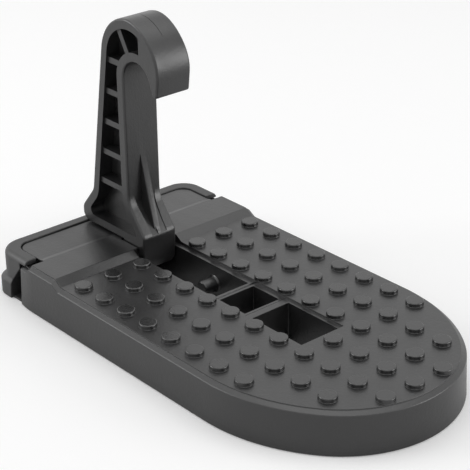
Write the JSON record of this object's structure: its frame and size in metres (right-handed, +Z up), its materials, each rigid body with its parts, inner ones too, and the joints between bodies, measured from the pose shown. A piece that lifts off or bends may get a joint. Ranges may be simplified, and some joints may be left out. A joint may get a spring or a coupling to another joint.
{
  "type": "car door step",
  "caption": "Folding step that hooks onto an open car door's striker loop, with a studded tread and a rubber bumper.",
  "frame": {"origin": "under the middle of the step, on the surface that its bottom edge lies on", "axes": "+X towards the rounded nose that points away from the car, +Y to the right seen from the bumper, +Z up along the standing arm"},
  "size_m": [0.1626, 0.0852, 0.0958],
  "materials": {
    "moulding": "fine satin texture, black",
    "rubber": "matte, black",
    "steel": "dulled"
  },
  "bodies": {
    "base": {"step_plate": "moulding", "rubber_bumper": "rubber", "pivot_pin": "steel", "pin_clamp_near": "moulding", "pin_clamp_far": "moulding", "clamp_screws": "steel"},
    "arm": {"hook_arm": "moulding"}
  },
  "joints": [
    {"name": "arm_fold", "type": "hinge", "parent": "base", "child": "arm", "pos_m": [-0.04905, 0, 0.01215], "axis": [0, 1, 0], "range_deg": [0, 90]}
  ]
}
